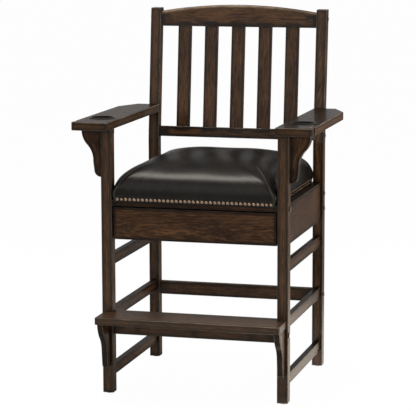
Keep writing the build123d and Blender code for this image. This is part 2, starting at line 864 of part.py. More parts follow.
def drawer_opening_stop():
    """A block under the deck that catches the drawer's back, so the drawer slides out only that far."""
    low = (-stop_wide / 2, stop_front, seat_rail_top - stop_high)
    high = (stop_wide / 2, stop_back, seat_rail_top)
    return cut(block(low, high), stop_screws())


def stop_screws():
    """Two screws that hold the opening stop up under the deck."""
    quarter = stop_wide / 4
    head = seat_rail_top - stop_high
    y = (stop_front + stop_back) / 2
    return [screw_up(head, stop_high + stop_screw_long - screw_head_high, s * quarter, y) for s in (1, -1)]


def corner_blocks():
    """Four glue blocks in the corners under the deck."""
    top, base = seat_rail_top, front_rail_base
    x = side_inner_x - cleat_wide
    out = []
    for y, step in ((front_rail_deep, corner_block_leg), (rear_rail_front, -corner_block_leg)):
        face = make_face(Polyline((x, y), (x - corner_block_leg, y), (x, y + step), close=True))
        wedge = Pos(0, 0, base) * extrude(face, top - base)
        out += both(wedge)
    return out


def drawer_front():
    """The drawer's show front, set in between the legs, with eased edges and no knob."""
    low = (-drawer_front_half, drawer_front_setback, drawer_front_base)
    high = (drawer_front_half, box_start, drawer_front_top)
    board = block(low, high)
    board = fillet(board.faces().sort_by(Axis.Y)[0].edges(), edge_round)
    return cut(board, drawer_screws())


def drawer_screws():
    """Four screws out through the box front into the show front."""
    head = box_start + drawer_side_thick
    xs_shares = (-0.8, -0.3, 0.3, 0.8)
    z = (bottom_base + drawer_bottom_thick + box_front_top) / 2
    return [screw_y(head, head - drawer_screw_long, box_inner_half * s, z) for s in xs_shares]


def bottom_panel(slack):
    """The drawer's plywood bottom, or with slack the groove that takes it."""
    low = (-box_inner_half - groove_deep - slack, box_start + drawer_side_thick - groove_deep - slack,
           bottom_base - slack)
    high = (box_inner_half + groove_deep + slack, box_end - drawer_side_thick + groove_deep + slack,
            bottom_base + drawer_bottom_thick + slack)
    return block(low, high)


def drawer_box_front():
    """The box's own front behind the show front, lower than the sides, so that it passes the stop."""
    low = (-box_inner_half, box_start, box_base)
    high = (box_inner_half, box_start + drawer_side_thick, box_front_top)
    return cut(block(low, high), [bottom_panel(fit_gap)] + drawer_screws())


def drawer_side():
    """The right side of the drawer's box, which slides on the runner."""
    low = (box_inner_half, box_start, box_base)
    high = (drawer_box_half, box_end, box_top)
    return block(low, high) - bottom_panel(fit_gap)


def drawer_back():
    """The box's back, which the opening stop catches."""
    low = (-box_inner_half, box_end - drawer_side_thick, box_base)
    high = (box_inner_half, box_end, box_top)
    return block(low, high) - bottom_panel(fit_gap)


def footboard_screw_x():
    """Where the footboard's screws stand across the chair."""
    spread_shares = (-0.7, 0, 0.7)
    return [inner_x * s for s in spread_shares]


def footboard_screw(x):
    """A screw up through the footrest rail into the footboard."""
    head = footrest_base + counterbore_deep
    return screw_up(head, footboard_top - board_screw_cover - head, x, footrest_mid_y)


def frame_bolts():
    """All the bolts of the cross rails."""
    right = [bolt(*p) for p in post_bolts + leg_bolts]
    return right + [across(s) for s in right]


def barrel_nuts():
    """All the barrel nuts: those of the raked rails are tilted with them, the flat rail's stands upright."""
    tilts = (rake_degrees, rake_degrees, 0, 0, 0)
    right = [barrel_nut(*p, t, False) for p, t in zip(post_bolts, tilts)]
    right += [barrel_nut(*leg_bolts[0], 0, True), barrel_nut(*leg_bolts[1], 0, False)]
    return right + [across(s) for s in right]


def rail_dowels():
    """All the dowels beside the bolts."""
    right = [rail_dowel(*p) for p in post_dowels + leg_dowels]
    return right + [across(s) for s in right]


def side_frame_pegs():
    """The dowels of the arms, corbels and brackets on both sides."""
    right = arm_pegs() + corbel_pegs() + bracket_pegs()
    return right + [across(s) for s in right]


def wood_screws():
    """Every wood screw in the frame."""
    right = side_screws()
    return (deck_screws() + right + [across(s) for s in right] + stop_screws()
            + [footboard_screw(x) for x in footboard_screw_x()])


def foot_glides():
    """The four glides."""
    right = [glide(leg_size / 2), glide(post_mid)]
    return right + [across(s) for s in right]


def build_nodes():
    """Every node by name, as one solid or a group of separate solids."""
    nodes = {}
    paired = {
        "front_leg": front_leg,
        "rear_post": rear_post,
        "armrest": armrest,
        "arm_corbel": arm_corbel,
        "side_apron": side_apron,
        "upper_side_stretcher": lambda: side_rail("upper_side_stretcher"),
        "middle_side_stretcher": lambda: side_rail("middle_side_stretcher"),
        "lower_side_stretcher": lambda: side_rail("lower_side_stretcher"),
        "footboard_bracket": footboard_bracket,
        "cup_holder": cup_holder,
        "seat_cleat": seat_cleat,
        "drawer_runner": drawer_runner,
        "drawer_side": drawer_side,
    }
    for name, make in paired.items():
        shape = make()
        nodes[name + "_right"] = shape
        nodes[name + "_left"] = across(shape)
    single = {
        "crest_rail": crest_rail,
        "lower_back_rail": lower_back_rail,
        "rear_seat_rail": rear_seat_rail,
        "rear_stretcher": rear_stretcher,
        "front_seat_rail": front_seat_rail,
        "footrest_rail": footrest_rail,
        "footboard": footboard,
        "seat_deck": seat_deck,
        "seat_cushion": seat_cushion,
        "seat_nailheads": seat_nailheads,
        "corner_blocks": corner_blocks,
        "drawer_front": drawer_front,
        "drawer_box_front": drawer_box_front,
        "drawer_back": drawer_back,
        "drawer_bottom": lambda: bottom_panel(0),
        "drawer_screws": drawer_screws,
        "drawer_closing_stops": drawer_closing_stops,
        "drawer_opening_stop": drawer_opening_stop,
        "frame_bolts": frame_bolts,
        "barrel_nuts": barrel_nuts,
        "rail_dowels": rail_dowels,
        "side_frame_pegs": side_frame_pegs,
        "wood_screws": wood_screws,
        "foot_glides": foot_glides,
    }
    for name, make in single.items():
        nodes[name] = make()
    for index in range(slat_count):
        nodes[f"back_slat_{index + 1}"] = back_slat(index)
    return nodes


def as_one(pieces, shift):
    """A node's pieces, moved, as a single solid or as one compound of separate solids."""
    solids = [solid for piece in pieces for solid in (shift * piece).solids()]
    return solids[0] if len(solids) == 1 else Compound(solids)


def main():
    """Builds every node, centres the chair over the origin and writes one file a node."""
    os.makedirs("parts", exist_ok=True)
    nodes = {name: made if isinstance(made, list) else [made] for name, made in build_nodes().items()}
    boxes = [piece.bounding_box() for pieces in nodes.values() for piece in pieces]
    middle = (min(b.min.Y for b in boxes) + max(b.max.Y for b in boxes)) / 2
    for name, pieces in nodes.items():
        export_step(as_one(pieces, Pos(0, -middle, 0)), f"parts/{name}.step")
    print("nodes", len(nodes), "legs' front faces at y =", round(-middle, 3))


main()
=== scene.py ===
# %% [markdown]
# A tall armchair in stained hardwood, with a leather seat over a drawer and a board for the feet.
# The wooden and metal pieces come ready-made as a fixed frame. This lesson gives each of them its finish,
# and makes the one soft piece, the leather seat, as a surface of its own.
# Everything is in metres: +X is right of someone who faces the chair, +Y is its back, and the floor is z = 0.

# %% Load the frame
import math
import bpy
import numpy as np
from mathutils import Matrix, Vector


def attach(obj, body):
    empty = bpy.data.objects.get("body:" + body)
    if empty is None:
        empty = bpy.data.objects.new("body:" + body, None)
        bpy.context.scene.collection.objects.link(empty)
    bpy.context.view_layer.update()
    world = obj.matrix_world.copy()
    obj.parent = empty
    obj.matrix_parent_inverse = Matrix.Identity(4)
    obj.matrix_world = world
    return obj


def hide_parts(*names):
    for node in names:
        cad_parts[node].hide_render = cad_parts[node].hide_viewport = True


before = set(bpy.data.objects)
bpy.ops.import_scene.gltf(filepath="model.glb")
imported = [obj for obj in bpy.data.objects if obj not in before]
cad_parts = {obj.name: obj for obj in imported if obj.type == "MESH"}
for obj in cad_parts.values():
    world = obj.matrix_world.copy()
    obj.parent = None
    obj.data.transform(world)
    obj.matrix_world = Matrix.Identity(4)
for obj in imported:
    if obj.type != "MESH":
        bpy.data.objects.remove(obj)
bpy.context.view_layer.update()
print("pieces in the frame:", len(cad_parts))

# %% [markdown]
# A finish is a small program over the surface. Blender draws such a program as boxes and wires, which soon
# turn into a web. Here it is written as sums instead. The class below holds one wire, and adds a Math node
# for each sign, so that a line reads like the formula on paper.

# %% A wire that does sums
class Wire:
    """One output socket. Every sum on it adds a Math node to the same tree."""

    def __init__(self, board, socket):
        self.board, self.socket = board, socket

    def sum(self, operation, *others):
        return self.board.math(operation, self, *others)

    def __add__(self, other):
        return self.sum("ADD", other)

    def __sub__(self, other):
        return self.sum("SUBTRACT", other)

    def __mul__(self, other):
        return self.sum("MULTIPLY", other)

    def __truediv__(self, other):
        return self.sum("DIVIDE", other)

    def __pow__(self, other):
        return self.sum("POWER", other)

    def __radd__(self, other):
        return self.board.math("ADD", other, self)

    def __rsub__(self, other):
        return self.board.math("SUBTRACT", other, self)


# %% [markdown]
# The next class is the bench that a finish is built on. One method places any node: first its settings,
# then the values or wires of its sockets. The few that follow are the tools every finish here needs:
# a place on the object, a cloud of noise, a blend of two colours, a soft step from 0 to 1, and a feeler
# that tells how near an edge or a corner is. The surround of the studio is built on the same bench.

# %% The bench for a finish
class Board:
    """The node tree of a material or of the world around the scene."""

    feelers = 6

    def __init__(self, owner):
        owner.use_nodes = True
        self.owner, self.tree = owner, owner.node_tree

    def there(self, name):
        """The output of a node that every new tree already has."""
        return Wire(self, self.tree.nodes[name].outputs[0])

    def node(self, kind, settings=None, out=0, **sockets):
        """Adds a node, sets it up, fills its sockets by name or number, and gives back one output."""
        made = self.tree.nodes.new(kind)
        for key, value in (settings or {}).items():
            setattr(made, key, value)
        for key, value in sockets.items():
            place = int(key[1:]) if key[1:].isdigit() else key.replace("_", " ")
            self.put(made.inputs[place], value)
        return Wire(self, made.outputs[out])

    def put(self, socket, value):
        """A wire is linked, anything else is the socket's own value."""
        if isinstance(value, Wire):
            self.tree.links.new(value.socket, socket)
        else:
            socket.default_value = value

    def math(self, operation, *values):
        made = self.tree.nodes.new("ShaderNodeMath")
        made.operation = operation
        for socket, value in zip(made.inputs, values):
            self.put(socket, value)
        return Wire(self, made.outputs[0])

    def place(self, shift=(0, 0, 0), turn=(0, 0, 0)):
        """Where a point is on the object, turned and then moved."""
        here = self.node("ShaderNodeTexCoord", out="Object")
        return self.node("ShaderNodeMapping", Vector=here, Location=shift, Rotation=turn)

    def noise(self, place, scale, detail=2, rough=0.5):
        return self.node("ShaderNodeTexNoise", Vector=place, Scale=scale, Detail=detail, Roughness=rough)

    def mix(self, amount, first, second):
        """Blends two colours by an amount from 0 to 1."""
        return self.node("ShaderNodeMix", {"data_type": "RGBA"}, out=2, _0=amount, _6=first, _7=second)

    def step(self, value, low, high):
        """0 below low, 1 above high, and a smooth slope between them."""
        return self.node("ShaderNodeMapRange", {"interpolation_type": "SMOOTHSTEP"},
                         Value=value, From_Min=low, From_Max=high)

    def axes(self, place):
        """A place as three separate wires."""
        parts = self.tree.nodes.new("ShaderNodeSeparateXYZ")
        self.put(parts.inputs[0], place)
        return [Wire(self, output) for output in parts.outputs]

    def vector(self, x, y, z):
        return self.node("ShaderNodeCombineXYZ", X=x, Y=y, Z=z)

    def bump(self, height, distance, strength=1.0, after=None):
        extra = {"Normal": after} if after else {}
        return self.node("ShaderNodeBump", Height=height, Distance=distance, Strength=strength, **extra)

    def near(self, reach, inside=False):
        """The share of short feelers that meet a surface: outside in corners, or inside along edges."""
        settings = {"samples": self.feelers, "inside": inside, "only_local": inside}
        return 1 - self.node("ShaderNodeAmbientOcclusion", settings, out="AO", Distance=reach)

    def finish(self, color, rough, normal=None, coat=None, **fixed):
        """Wires the varying inputs and sets the plain numbers on the shader's own sockets."""
        inputs = self.tree.nodes["Principled BSDF"].inputs
        varying = {"Base Color": color, "Roughness": rough, "Normal": normal, "Coat Weight": coat}
        for name, value in varying.items():
            if value is not None:
                self.put(inputs[name], value)
        for name, value in fixed.items():
            inputs[name.replace("_", " ")].default_value = value
        return self.owner


def bench(name):
    """A bench for a new material."""
    return Board(bpy.data.materials.new(name))


def paint(name, material):
    """Gives a frame piece one material all over."""
    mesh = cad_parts[name].data
    mesh.materials.clear()
    mesh.materials.append(material)


# %% [markdown]
# The wood is an open-grained hardwood with a dark stain. Seen close, four things lie over each other.
# Growth rings cross a board as broad bands, straight on narrow sticks and arched on wide boards.
# Pores are short dark dashes that follow the rings. Between them the stain took unevenly, more red in one
# place and nearly black in another. Last, the wood is darker in a band along each edge, painted shade
# darkens the corners where boards meet and some upward faces, and the edges' crests are paled, partly as
# wear and partly as a painted highlight. Painted highlights also pale the upper rims of upright faces, and
# painted light pales a few whole pieces.
# The rings are drawn as a real log's are: circles round an axis that leans a little under the board. Where
# the axis comes near the face, the circles are cut into arches. Painted pictures of grain could do the
# same, but circles need no picture, and they run on round every edge.
# The edges and corners are found with short feelers. From a point inside the wood near an edge, many of
# them reach the surface again, and in a corner many of the outer ones meet the next board.

# %% Colours of the stain. The deepest is also painted shade, and the rubbed one is wear, painted highlight and painted light.
stain_deep_and_shade = (0.0040, 0.0020, 0.0012, 1)
stain_dark = (0.0145, 0.0068, 0.0032, 1)
stain_mid = (0.046, 0.0218, 0.0098, 1)
stain_warm = (0.112, 0.053, 0.0225, 1)
stain_rub_and_light = (0.22, 0.158, 0.110, 1)

# %% Sizes of the grain, of the edges and of the painted corner shade
ring_pitch, straight_ring_pitch = 0.0050, 0.0082
streaks_per_metre = {"wide": 520, "stick": 340, "straight": 170}
stick_limit, stick_wildness = 0.09, 0.35
edge_reach, crest_reach, corner_shade_reach = 0.014, 0.0032, 0.016
grain_depth, glaze_coat, glaze_index = 0.00022, 0.052, 2.2
grain_turn = {"x": (0, 0, 0), "y": (0, 0, -math.pi / 2), "z": (0, math.pi / 2, 0)}


def turned(along, point):
    """A point with its first number along the grain, as the finish below counts it."""
    x, y, z = point
    return {"x": (x, y, z), "y": (y, -x, z), "z": (z, y, -x)}[along]


# %% Where a board lay in its log
def log_axis(along, points, lot, straight):
    """The board's middle, slant and thickness, then the log axis's place and lean, and the board's cut.

    The slant is a straight line fitted through the board's points. Under a wide board the axis lies below
    the broad side, so that side shows arches. A straight board was cut beside the axis instead, where the
    rings cross its face as straight lines, and narrow sticks always are.
    """
    spots = np.stack(turned(along, points.T), -1)
    middle = (spots.min(0) + spots.max(0)) / 2
    slant = [np.polyfit(spots[:, 0], spots[:, k], 1)[0] for k in (1, 2)]
    size = np.ptp(spots[:, 1:] - np.outer(spots[:, 0], slant), axis=0)
    side, near, lean = lot.choice([-1, 1]), lot.uniform(0.026, 0.05), lot.uniform(0.03, 0.07)
    broad = int(size[1] > size[0])
    heart, tilt = [0, 0], [0, 0]
    heart[broad], heart[1 - broad] = lot.uniform(-0.2, 0.2) * size[broad], near
    tilt[broad], tilt[1 - broad] = side * lean * 0.25, side * lean
    cut = "straight" if straight else "stick" if max(size) < stick_limit else "wide"
    if cut != "wide":
        heart[broad], tilt[1 - broad] = side * (size[broad] / 2 + near), side * lean * 0.2
    return middle, slant, float(min(size)), heart, tilt, cut


# %% The stained wood
def stained_wood(name, along, seed, points, straight, painted_top_shade, painted_light_lift, rub_and_highlight, rounding, gloss, polish):
    """Dark hardwood. u runs along the board, v and w across it, all from its middle.

    far is the distance from the log's axis, bent by slow noise, and a ring is the fraction of far / pitch.
    Streaks and pores are noise over (u, far), long in u and short in far, so they follow the rings.
    painted_top_shade is painted shade that darkens upward faces, and polish makes them mirror more.
    painted_light_lift is painted light that pales the whole piece. rub_and_highlight pales the edges' crests,
    partly as wear and partly as a painted highlight, and paints a highlight on the upper rims of upright
    faces.
    rounding is the radius by which edges catch the light, and gloss is the roughness of the clear coat.
    """
    b = bench(name)
    lot = np.random.default_rng(seed)
    middle, slant, thick, heart, lean, cut = log_axis(along, points, lot, straight)
    lot_number = float(lot.uniform(0, 50))
    wild = 1.0 if cut == "wide" else stick_wildness

    def noise(u_scale, v_place, w_place, detail=2.0, rough=0.5):
        """Noise of this board's own lot: the fourth number sets it apart from all the others."""
        where = b.vector(u * u_scale, v_place, w_place)
        return b.node("ShaderNodeTexNoise", {"noise_dimensions": "4D"}, Vector=where, W=lot_number,
                      Scale=1.0, Detail=detail, Roughness=rough)

    u, v, w = b.axes(b.place(turn=grain_turn[along], shift=tuple(-m for m in middle)))
    v, w = v - u * float(slant[0]), w - u * float(slant[1])
    sway = noise(5.5, v * 9, w * 9, 3.0) - 0.5
    off_v = v - float(heart[0]) + u * float(lean[0]) + sway * (0.016 * wild)
    off_w = w - float(heart[1]) + u * float(lean[1]) + sway * (0.026 * wild)
    far = (off_v * off_v + off_w * off_w) ** 0.5
    pitch = straight_ring_pitch if straight else ring_pitch
    ring = b.math("FRACT", far / pitch + noise(16, v * 70, w * 70) * 0.7)
    early = b.step(ring, 0.0, 0.4) * (1 - b.step(ring, 0.70, 1.0))
    streaks = noise(24, far * streaks_per_metre[cut], (v + w) * 150, 4.0, 0.70)
    dashes = noise(52, far * 1150, w * 500, 3.0, 0.65)
    pores = b.step(dashes, 0.50, 0.66) * (0.35 + early * 0.65)
    cloud = noise(6, v * 16, w * 16, 3.0)
    rub = b.step(noise(22, v * 45, w * 45), 0.34, 0.66)

    color = b.mix(b.step(streaks, 0.34, 0.64), stain_dark, stain_mid)
    color = b.mix(b.step(cloud * 0.40 + streaks * 0.60, 0.42, 0.66) * 0.70, color, stain_warm)
    color = b.mix(early * (0.30 if straight else 0.38), color, stain_dark)
    if straight:
        color = b.mix((1 - early) * 0.85, color, stain_deep_and_shade)
    color = b.mix(pores * 0.85, color, stain_deep_and_shade)

    edge = b.step(b.near(min(edge_reach, thick * 0.8), True), 0.04, 0.22)
    crest = b.step(b.near(crest_reach, True), 0.22, 0.42)
    # Painted shade: the wood is darkened where the outer feelers meet another board, in corners and at
    # joints.
    corner = b.step(b.near(corner_shade_reach), 0.08, 0.70)
    color = b.mix(edge * (1.0 - rub * 0.25), color, stain_deep_and_shade)
    color = b.mix(corner * 0.90, color, stain_deep_and_shade)
    # The edges' crests are paled, partly as wear and partly as a painted highlight.
    color = b.mix(crest * (0.3 + rub * 0.7) * rub_and_highlight, color, stain_rub_and_light)

    rounded = b.node("ShaderNodeBevel", {"samples": b.feelers}, Radius=rounding)
    up = b.step(b.axes(b.node("ShaderNodeNewGeometry", out="Normal"))[2], 0.6, 0.95)
    # Painted highlight: the upper rims of upright faces, where the rounded normal turns up towards the lamps,
    # are paled.
    rim = b.step(b.axes(rounded)[2], 0.12, 0.50) * (1 - up)
    color = b.mix(rim * (0.25 + rub * 0.45) * rub_and_highlight, color, stain_rub_and_light)
    # Painted shade darkens upward faces, and painted light pales the rest of the piece.
    color = b.mix(up * painted_top_shade, color, stain_deep_and_shade)
    color = b.mix((1 - up * painted_top_shade) * painted_light_lift, color, stain_rub_and_light)

    rough = 0.42 + pores * 0.18 + (streaks - 0.5) * 0.14 - crest * 0.08
    relief = b.bump(streaks * 0.35 - pores * 0.9 + ring * 0.12, grain_depth, 0.6, rounded)
    coat = glaze_coat + up * polish + crest * (0.4 + rub * 0.6) * rub_and_highlight
    return b.finish(color, rough, relief, coat, Specular_IOR_Level=0.01, Coat_Roughness=gloss,
                    Coat_IOR=glaze_index)


# %% [markdown]
# Each stick of wood is its own board, so each gets its own number, which moves the pattern to another
# part of the log. The grain follows the long way of the piece: up the legs and slats, across the rails,
# and from front to back in the arms, the aprons and the side stretchers.

# %% Which way the grain runs
pair_names = {
    "z": ["front_leg", "rear_post", "arm_corbel", "footboard_bracket"],
    "y": ["armrest", "side_apron", "upper_side_stretcher", "middle_side_stretcher", "lower_side_stretcher",
          "seat_cleat"],
}
grain = {
    "x": ["crest_rail", "lower_back_rail", "rear_seat_rail", "rear_stretcher", "front_seat_rail",
          "footrest_rail", "footboard", "drawer_front"],
    "z": [f"back_slat_{i}" for i in range(1, 6)],
    "y": [],
}
for along, names in pair_names.items():
    grain[along] += [f"{name}_{side}" for name in names for side in ("left", "right")]

# %% Stain every outer piece
# Of these numbers, the darkening of upward faces is painted shade, the paling of a whole piece is painted
# light, and the paling of edges is wear and painted highlight together.
usual = {
    "straight": False, "painted_top_shade": 0.0, "painted_light_lift": 0.0, "rub_and_highlight": 0.35,
    "rounding": 0.003, "gloss": 0.22, "polish": 0.0,
}
special = {
    "armrest": {"painted_top_shade": 0.86, "painted_light_lift": 0.055, "rub_and_highlight": 0.9, "gloss": 0.05, "polish": 0.038},
    "crest_rail": {"rub_and_highlight": 1.0, "rounding": 0.014},
    "rear_stretcher": {"painted_light_lift": 0.03},
    "footboard": {"painted_light_lift": 0.09, "rub_and_highlight": 0.7, "rounding": 0.005},
    "footrest_rail": {"painted_light_lift": 0.06},
    "front_leg": {"painted_light_lift": 0.065, "rub_and_highlight": 0.7},
    "rear_post": {"painted_light_lift": 0.02, "rub_and_highlight": 0.6},
    "arm_corbel": {"rub_and_highlight": 0.7},
    "drawer_front": {"rub_and_highlight": 0.12},
    "front_seat_rail": {"rub_and_highlight": 0.12},
    "side_apron": {"straight": True, "painted_top_shade": 0.7, "rub_and_highlight": 0.25},
    "seat_cleat": {"painted_top_shade": 0.7, "rub_and_highlight": 0.0},
    "upper_side_stretcher": {"painted_top_shade": 0.6},
    "middle_side_stretcher": {"painted_top_shade": 0.6},
    "lower_side_stretcher": {"painted_top_shade": 0.6},
}
first_seed = 10


def frame_points(name):
    """All points of a frame piece as one array."""
    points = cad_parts[name].data.vertices
    flat = np.empty(len(points) * 3, np.float32)
    points.foreach_get("co", flat)
    return flat.reshape(-1, 3).astype(float)


seed = first_seed
for along in ("x", "y", "z"):
    for name in grain[along]:
        seed += 1
        pair = name.removesuffix("_left").removesuffix("_right")
        look = {**usual, **special.get(pair, {})}
        paint(name, stained_wood("stained_" + name, along, seed, frame_points(name), **look))
print("stained pieces:", seed - first_seed)

# %% [markdown]
# Pieces that nobody sees once the chair stands are left pale: the drawer's box and its runners, the glue
# blocks and the dowels. They are plain light hardwood with a fine grain and hardly any polish.
# The seat deck and the drawer's bottom are plywood, which shows its layers as stripes on the edge.

# %% Pale wood
pale_low, pale_high, pale_pore = (0.42, 0.27, 0.145, 1), (0.56, 0.39, 0.225, 1), (0.25, 0.15, 0.08, 1)


def pale_wood(name, along, seed):
    """Light unfinished hardwood: soft streaks along u, and fine short pores."""
    b = bench(name)
    jump = tuple(np.random.default_rng(seed).uniform(-3, 3, 3))
    u, v, w = b.axes(b.place(turn=grain_turn[along], shift=jump))
    streaks = b.noise(b.vector(u * 4, v * 120, w * 120), 1.0, 4)
    dashes = b.noise(b.vector(u * 40, v * 900, w * 900), 1.0, 2)
    color = b.mix(b.step(streaks, 0.3, 0.7), pale_low, pale_high)
    color = b.mix(b.step(dashes, 0.58, 0.72) * 0.4, color, pale_pore)
    rough = 0.62 + (streaks - 0.5) * 0.1
    return b.finish(color, rough, b.bump(dashes, 0.0001, 0.4), Specular_IOR_Level=0.35)


pale = {
    "y": ["drawer_runner_left", "drawer_runner_right",
          "drawer_side_left", "drawer_side_right", "drawer_closing_stops"],
    "x": ["drawer_box_front", "drawer_back", "drawer_opening_stop", "corner_blocks", "rail_dowels",
          "side_frame_pegs"],
}
for along, names in pale.items():
    for name in names:
        seed += 1
        paint(name, pale_wood("pale_" + name, along, seed))
print("pale pieces:", sum(len(names) for names in pale.values()))


# %% Plywood
cross_sheet = (0.24, 0.15, 0.08, 1)
deck_layer, drawer_layer = 0.0026, 0.0015


def plywood(name, layer):
    """Thin sheets glued crosswise: the colour changes from sheet to sheet, by height."""
    b = bench(name)
    x, y, z = b.axes(b.place())
    sheet = b.step(b.math("PINGPONG", z, layer), layer * 0.35, layer * 0.6)
    streaks = b.noise(b.vector(x * 3, y * 110, z * 400), 1.0, 4)
    color = b.mix(streaks, (0.40, 0.26, 0.14, 1), (0.58, 0.42, 0.25, 1))
    color = b.mix(sheet * 0.35, color, cross_sheet)
    return b.finish(color, 0.6 + streaks * 0.1, b.bump(streaks, 0.0001, 0.5), Specular_IOR_Level=0.35)


paint("seat_deck", plywood("deck_plywood", deck_layer))
paint("drawer_bottom", plywood("bottom_plywood", drawer_layer))
print("plywood layers in mm:", deck_layer * 1000, drawer_layer * 1000)


# %% [markdown]
# The metal is quiet. The bolts are blackened steel, and the cup holders are spun cups with a black satin
# finish. The nails are antique brass: brown in the hollows between them, rubbed bright on their crowns.
# Screws and barrel nuts are plain zinc-plated steel.

# %% Metal
def metal(name, dark, light, rough_low, rough_high, grain_scale, metallic=1.0, shine=0.3):
    """Two tones in a fine cloud, which also turns the polish up and down."""
    b = bench(name)
    cloud = b.noise(b.place(), grain_scale, 3, 0.6)
    wear_and_highlight = b.step(b.near(0.0012, True), 0.2, 0.45)
    color = b.mix(b.step(cloud, 0.35, 0.68), dark, light)
    color = b.mix(wear_and_highlight * 0.35, color, light)
    rough = rough_low + b.step(cloud, 0.3, 0.7) * (rough_high - rough_low)
    relief = b.bump(cloud, 0.00004, 0.3)
    return b.finish(color, rough, relief, Metallic=metallic, Specular_IOR_Level=shine)


blackened_steel = metal("blackened_steel", (0.0030, 0.0026, 0.0022, 1), (0.008, 0.0068, 0.006, 1),
                        0.24, 0.36, 300, 0.0, 0.22)
antique_brass = metal("antique_brass", (0.10, 0.062, 0.042, 1), (0.33, 0.240, 0.175, 1), 0.24, 0.40, 420)
zinc_plate = metal("zinc_plate", (0.42, 0.42, 0.40, 1), (0.60, 0.60, 0.58, 1), 0.3, 0.5, 500)
black_satin = metal("black_satin_cup", (0.010, 0.0095, 0.009, 1), (0.020, 0.019, 0.018, 1),
                    0.26, 0.38, 250, 0.0, 0.03)
metal_pieces = {
    "frame_bolts": blackened_steel,
    "seat_nailheads": antique_brass,
    "barrel_nuts": zinc_plate,
    "wood_screws": zinc_plate,
    "drawer_screws": zinc_plate,
    "cup_holder_left": black_satin,
    "cup_holder_right": black_satin,
}
for name, material in metal_pieces.items():
    paint(name, material)
print("metal pieces:", len(metal_pieces))


# %% Glides
def glide_plastic():
    """Hard black plastic with a faint moulded grain."""
    b = bench("glide_plastic")
    cells = b.noise(b.place(), 900, 2)
    color = b.mix(cells, (0.012, 0.012, 0.012, 1), (0.03, 0.03, 0.029, 1))
    return b.finish(color, 0.5 + cells * 0.15, b.bump(cells, 0.00005, 0.5))


paint("foot_glides", glide_plastic())

# %% [markdown]
# The seat is foam under one tight skin of black leather, nailed round the edge of its deck. It could be
# sculpted by hand or blown up like a balloon, but its form is simple enough to write down.
# Take a square sheet of points. A point's ring is how near it lies to the rim, and its corner is how near
# the diagonal. Rings shrink and rise together along a quarter turn, which gives the fat front roll and
# the nearly flat crown. The last rings turn down over the deck's edge and form the nailed border.

# %% Sizes of the seat
leg_front = -0.253591
deck_half, deck_back, deck_top = 0.262, 0.544, 0.650
skin, crown, bulge = 0.002, 0.108, 0.0035
reach_side, reach_front, reach_back, crown_power = 0.195, 0.259, 0.165, 0.73
flat_ring, rim_ring = 0.18, 0.88
front_hem_z, side_hem_z = 0.627, 0.634
sharp_corner, hem_corner_gain, crown_corner_gain, rear_corner_share = 0.004, 0.027, 0.082, 0.6
nail_pitch = 0.0139
front_nail_z, side_nail_z = 0.636, 0.644
lip_high, lip_run, fold_deep, pleat_run = 0.0024, 0.014, 0.0010, 0.19
under_gap, glue_gap = 0.0003, 0.0002
sheet_count = 281
print("seat over the leather:", 2 * (deck_half + skin), "by", deck_back + 2 * skin)


def smooth(x, low, high):
    """0 below low, 1 above high, with no kink: 3t^2 - 2t^3."""
    t = np.clip((x - low) / (high - low), 0, 1)
    return t * t * (3 - 2 * t)


def bell(x, width):
    """A hill of height 1 at x = 0."""
    return np.exp(-((x / width) ** 2))


# %% [markdown]
# A ring of the sheet is a square, and the seat's ring is a rectangle with round corners. To carry one onto
# the other, a point first goes to the same place on a plain rectangle. If it falls in a corner's square,
# it is pulled in along the diagonal, so that the corner square's two outer sides become a quarter circle.

# %% From a square ring to a rounded one
def rounded_ring(s, t, half_x, half_y, radius):
    """Points of a rectangle's edge, with its corners pulled onto arcs of the given radius.

    Inside a corner square, the angle runs evenly from one side to the other: 45 degrees at the corner.
    """
    ring = np.maximum(np.maximum(abs(s), abs(t)), 1e-9)
    x, y = s / ring * half_x, t / ring * half_y
    over_x, over_y = abs(x) - (half_x - radius), abs(y) - (half_y - radius)
    in_corner = (over_x > 0) & (over_y > 0)
    on_side = abs(s) >= abs(t)
    angle = np.where(on_side, over_y / radius * np.pi / 4, np.pi / 2 - over_x / radius * np.pi / 4)
    arc_x = np.sign(x) * (half_x - radius + radius * np.cos(angle))
    arc_y = np.sign(y) * (half_y - radius + radius * np.sin(angle))
    return np.where(in_corner, arc_x, x), np.where(in_corner, arc_y, y)


